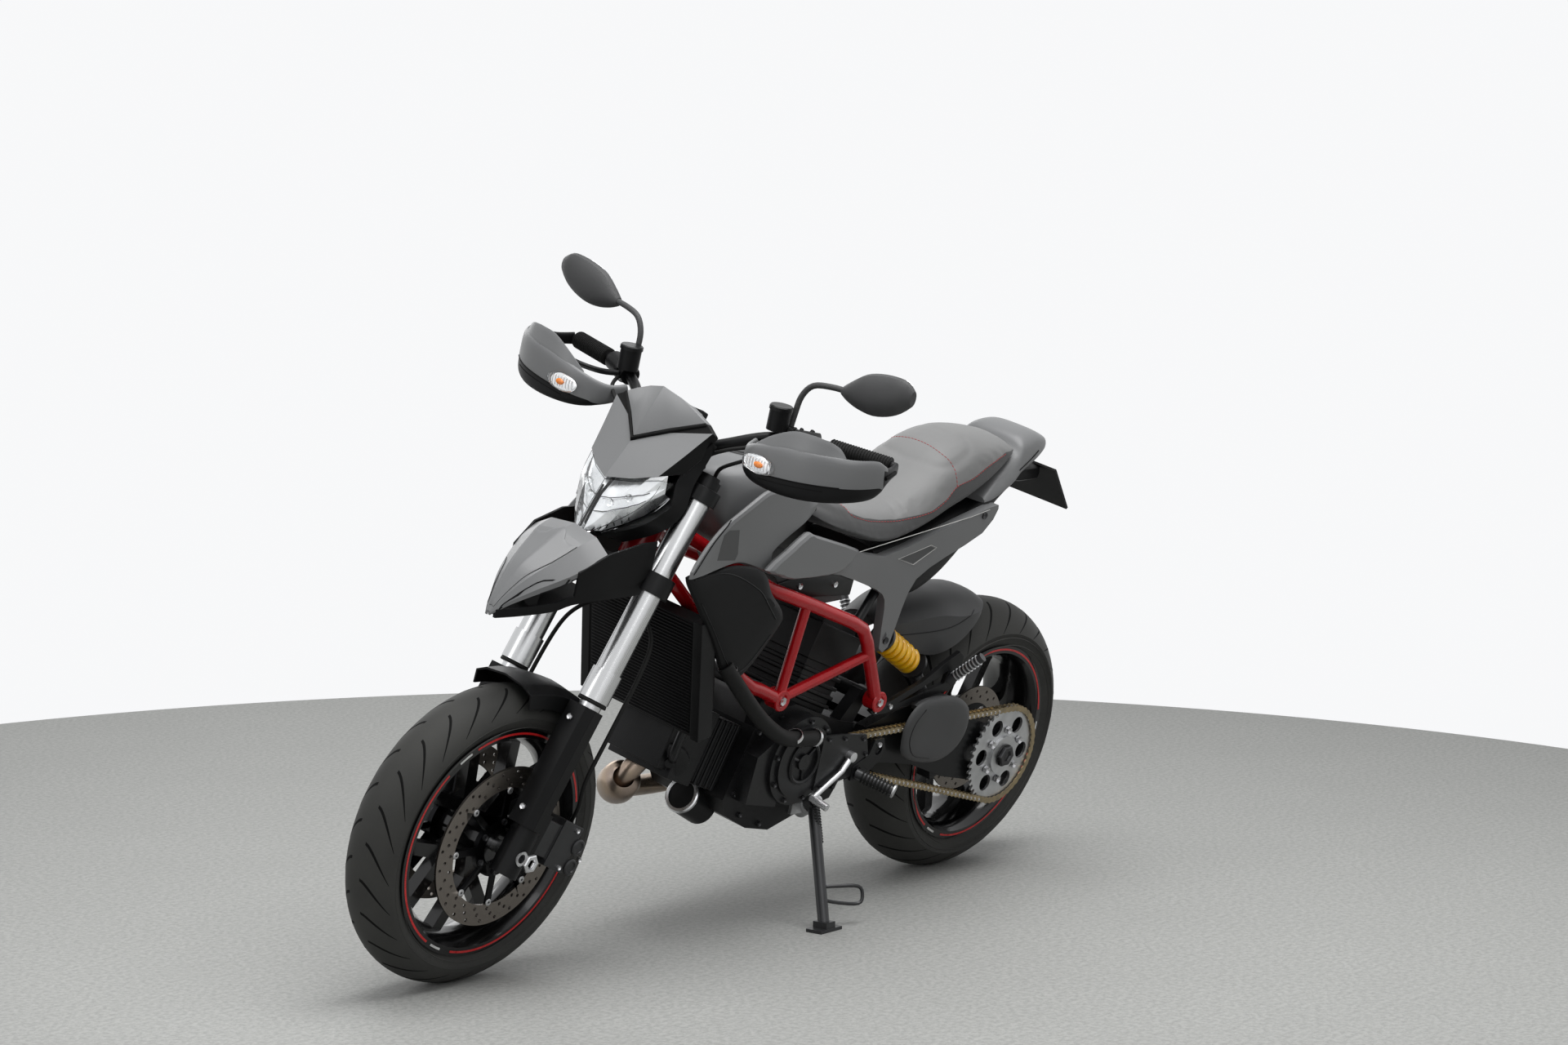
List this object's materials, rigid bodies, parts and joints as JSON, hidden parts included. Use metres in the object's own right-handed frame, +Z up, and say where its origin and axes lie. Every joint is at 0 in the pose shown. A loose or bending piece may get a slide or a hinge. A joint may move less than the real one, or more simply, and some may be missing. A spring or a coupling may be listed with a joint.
{
  "type": "supermoto motorcycle",
  "caption": "Two-wheeled road supermoto with a steel trellis frame, upside-down fork, single-sided swingarm and handguards, leaning on its folding side stand.",
  "frame": {"origin": "on the ground, midway between the two axles, where the machine's middle plane meets the ground", "axes": "+X forward, +Y to the rider's left, +Z up; the machine leans 15 degrees towards +Y on its stand"},
  "size_m": [2.1159, 0.9251, 1.3792],
  "materials": {
    "frame_red": "gloss red paint over steel tube",
    "engine_black": "satin black paint over cast alloy",
    "dark_metal": "satin dark grey paint",
    "alloy": "machined and anodised",
    "steel": "brushed",
    "bronze_disc": "ground, heat tinted",
    "heat_pipe": "heat tinted",
    "gold_chain": "gold coloured plates",
    "yellow_spring": "gloss yellow paint",
    "grey_body": "matt dark grey lacquer",
    "black_plastic": "grained black",
    "clear_lens": "clear",
    "red_lens": "clear red",
    "seat_cover": "matt coated fabric with red stitching",
    "tyre": "road rubber",
    "wheel_black": "gloss black with a thin red edge line",
    "rubber": "moulded"
  },
  "bodies": {
    "chassis": {"frame": "frame_red", "crankcase": "engine_black", "cylinders": "engine_black", "engine_covers": "engine_black", "radiator": "black_plastic", "coolant_hose": "rubber", "tank": "grey_body", "airbox": "black_plastic", "shrouds": "grey_body", "lower_shrouds": "black_plastic", "seat": "seat_cover", "tail_panels": "grey_body", "tail_unit": "grey_body", "under_tail": "black_plastic", "tail_light": "red_lens", "plate_holder": "black_plastic", "swingarm": "dark_metal", "rear_guards": "black_plastic", "chain": "gold_chain", "drive_sprocket": "steel", "shock": "dark_metal", "shock_spring": "yellow_spring", "exhaust_pipe": "heat_pipe", "silencer": "dark_metal", "footpegs": "alloy", "hangers": "dark_metal", "foot_levers": "alloy", "rear_caliper": "dark_metal", "stand_bracket": "dark_metal"},
    "steering": {"fork_legs": "alloy", "yokes": "dark_metal", "handlebar": "dark_metal", "grips": "rubber", "controls": "dark_metal", "handguards": "black_plastic", "indicators": "clear_lens", "mirrors": "black_plastic", "nose": "grey_body", "headlamp": "clear_lens", "lamp_shell": "black_plastic", "beak": "grey_body", "beak_sides": "black_plastic", "front_mudguard": "black_plastic", "front_axle": "alloy", "front_calipers": "alloy", "brake_hoses": "rubber", "dash": "black_plastic"},
    "front_wheel": {"front_tyre": "tyre", "front_rim": "wheel_black", "front_discs": "bronze_disc"},
    "rear_wheel": {"rear_tyre": "tyre", "rear_rim": "wheel_black", "rear_disc": "bronze_disc", "sprocket": "alloy"},
    "side_stand": {"side_stand": "dark_metal"}
  },
  "joints": [
    {"name": "steering_head", "type": "hinge", "parent": "chassis", "child": "steering", "pos_m": [0.44564, 0.22193, 0.83058], "axis": [-0.4299, 0.2336, 0.8722], "range_deg": [-30, 30]},
    {"name": "front_wheel_spin", "type": "hinge", "parent": "steering", "child": "front_wheel", "pos_m": [0.75022, 0.07765, 0.29189], "axis": [-0.0002, 0.9659, -0.2588], "continuous": true},
    {"name": "rear_wheel_spin", "type": "hinge", "parent": "chassis", "child": "rear_wheel", "pos_m": [-0.74977, 0.08179, 0.30847], "axis": [-0.0002, 0.9659, -0.2588], "continuous": true},
    {"name": "side_stand_fold", "type": "hinge", "parent": "chassis", "child": "side_stand", "pos_m": [-0.11382, 0.20204, 0.24678], "axis": [0.341, 0.8567, 0.3871], "range_deg": [0, 95]}
  ]
}
